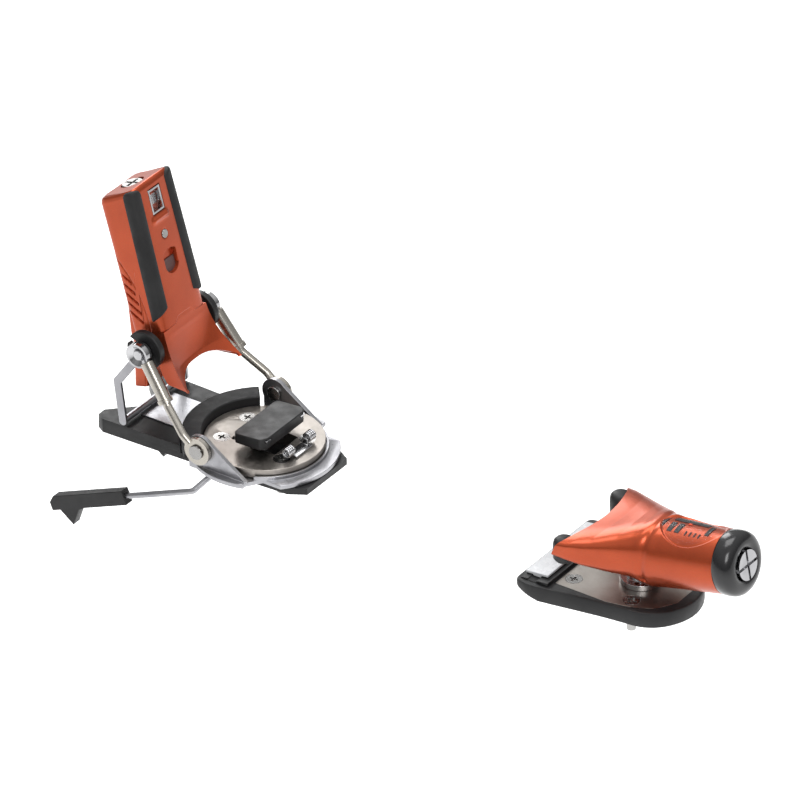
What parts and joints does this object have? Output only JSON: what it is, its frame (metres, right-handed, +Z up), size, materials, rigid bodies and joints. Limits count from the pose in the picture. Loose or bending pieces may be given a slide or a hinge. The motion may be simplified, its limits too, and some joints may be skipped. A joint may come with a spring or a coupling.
{
  "type": "alpine ski binding",
  "caption": "Step-in alpine ski binding in two units: a turntable heel with a tall sprung lever on wire arms and a ski brake, and a sprung toe head over an anti-friction pad.",
  "frame": {"origin": "centre of the heel's four-screw pattern, on the ski's top face", "axes": "+X forward to the ski tip, from the heel unit to the toe unit; +Y to the left; +Z up from the ski"},
  "size_m": [0.4534, 0.0964, 0.2187],
  "materials": {
    "black_plastic": "moulded, fine grain",
    "black_rubber": "matt",
    "gloss_black": "polished",
    "light_steel": "satin",
    "dark_nickel": "dark satin plate",
    "zinc_screw": "zinc plated",
    "bright_steel": "bright",
    "satin_steel": "satin",
    "nickel_rod": "nickel plated",
    "copper_paint": "metallic copper orange",
    "clear_lens": "clear, gloss",
    "brown_plastic": "satin",
    "spring_steel": "oiled",
    "white_pad": "slick white",
    "signal_red": "gloss"
  },
  "bodies": {
    "root": {"heel_base_plate": "black_plastic", "heel_slide_plate": "light_steel", "turntable_disc": "dark_nickel", "heel_mounting_screws": "zinc_screw", "brake_bracket": "bright_steel", "brake_springs": "bright_steel", "toe_base_plate": "black_plastic", "toe_steel_plate": "dark_nickel", "toe_mounting_screws": "zinc_screw", "toe_pivot_post": "bright_steel", "afd_carrier": "black_plastic"},
    "turntable": {"turntable_bracket": "satin_steel", "crescent_pad": "black_rubber", "arm_pivot_rivets": "zinc_screw"},
    "arms": {"arm_rod_left": "nickel_rod", "arm_rod_right": "nickel_rod", "adjuster_sleeve_left": "nickel_rod", "adjuster_sleeve_right": "nickel_rod", "arm_knuckle_left": "bright_steel", "arm_knuckle_right": "bright_steel", "pivot_axle": "bright_steel"},
    "bail": {"rear_bail": "satin_steel", "bail_collar_left": "black_plastic", "bail_collar_right": "black_plastic"},
    "heel_head": {"heel_housing": "copper_paint", "spring_cover": "copper_paint", "heel_cup": "copper_paint", "grip_strip_left": "black_rubber", "grip_strip_right": "black_rubber", "heel_window_frame": "bright_steel", "heel_window_lens": "clear_lens", "heel_front_screw": "zinc_screw", "heel_spring": "spring_steel", "heel_spring_guide": "spring_steel"},
    "heel_follower_body": {"heel_follower": "brown_plastic"},
    "heel_scale": {"heel_scale_slider": "bright_steel"},
    "heel_adjuster": {"heel_release_screw": "zinc_screw"},
    "brake": {"brake_wires": "satin_steel", "brake_claw_left": "black_plastic", "brake_claw_right": "black_plastic"},
    "pedal": {"brake_pedal": "black_plastic", "brake_pedal_support": "black_plastic", "brake_pedal_clips": "bright_steel"},
    "toe_head": {"toe_housing": "copper_paint", "toe_lug_left": "black_rubber", "toe_lug_right": "black_rubber", "toe_end_cap": "gloss_black", "toe_window_lens": "clear_lens", "toe_scale_plate": "copper_paint", "toe_spring": "spring_steel", "toe_piston": "spring_steel"},
    "toe_scale": {"toe_scale_pointer": "signal_red"},
    "toe_adjuster": {"toe_release_screw": "bright_steel"},
    "afd": {"afd_plate": "white_pad"}
  },
  "joints": [
    {"name": "turntable_spin", "type": "hinge", "parent": "root", "child": "turntable", "pos_m": [0, 0, 0.0059], "axis": [0, 0, 1], "range_deg": [-30, 30]},
    {"name": "arm_swing", "type": "hinge", "parent": "turntable", "child": "arms", "pos_m": [-0.0183, 0, 0.0184], "axis": [0, 1, 0], "range_deg": [0, 10]},
    {"name": "housing_tilt", "type": "hinge", "parent": "arms", "child": "heel_head", "pos_m": [-0.064, 0, 0.064], "axis": [0, 1, 0], "range_deg": [-4, 28]},
    {"name": "bail_swing", "type": "hinge", "parent": "arms", "child": "bail", "pos_m": [-0.064, 0, 0.064], "axis": [0, 1, 0], "range_deg": [-10, 0]},
    {"name": "follower_slide", "type": "slide", "parent": "heel_head", "child": "heel_follower_body", "axis": [-0.2639, 0, 0.9646], "range_m": [-0.0006, 0.003]},
    {"name": "heel_screw_turn", "type": "hinge", "parent": "heel_head", "child": "heel_adjuster", "pos_m": [-0.088, 0, 0.14037], "axis": [-0.2639, 0, 0.9646], "range_deg": [-720, 720]},
    {"name": "heel_scale_slide", "type": "slide", "parent": "heel_head", "child": "heel_scale", "axis": [-0.2639, 0, 0.9646], "range_m": [-0.004, 0.004]},
    {"name": "brake_swing", "type": "hinge", "parent": "root", "child": "brake", "pos_m": [-0.012, 0, 0.0021], "axis": [0, 1, 0], "range_deg": [0, 23], "stiffness_Nm_per_rad": 0.6, "springref_deg": -20.05},
    {"name": "pedal_tilt", "type": "hinge", "parent": "brake", "child": "pedal", "pos_m": [-0.002, 0, 0.0141], "axis": [0, 1, 0], "range_deg": [-23, 0]},
    {"name": "toe_head_turn", "type": "hinge", "parent": "root", "child": "toe_head", "pos_m": [0.26, 0, 0.02], "axis": [0, 0, 1], "range_deg": [-32, 32], "stiffness_Nm_per_rad": 5},
    {"name": "toe_screw_turn", "type": "hinge", "parent": "toe_head", "child": "toe_adjuster", "pos_m": [0.26, 0, 0.033], "axis": [0.9833, 0, 0.1822], "range_deg": [-720, 720]},
    {"name": "toe_scale_slide", "type": "slide", "parent": "toe_head", "child": "toe_scale", "axis": [0.9833, 0, 0.1822], "range_m": [-0.006, 0.006]},
    {"name": "afd_slide", "type": "slide", "parent": "root", "child": "afd", "axis": [0, 1, 0], "range_m": [-0.005, 0.005], "stiffness_N_per_m": 400}
  ],
  "couplings": [
    {"joint": "bail_swing", "follows": "arm_swing", "ratio": -1},
    {"joint": "follower_slide", "follows": "housing_tilt", "m_per_rad": 0.0061378},
    {"joint": "heel_scale_slide", "follows": "heel_screw_turn", "m_per_rad": 0.00031831},
    {"joint": "pedal_tilt", "follows": "brake_swing", "ratio": -1},
    {"joint": "toe_scale_slide", "follows": "toe_screw_turn", "m_per_rad": 0.00047746}
  ]
}
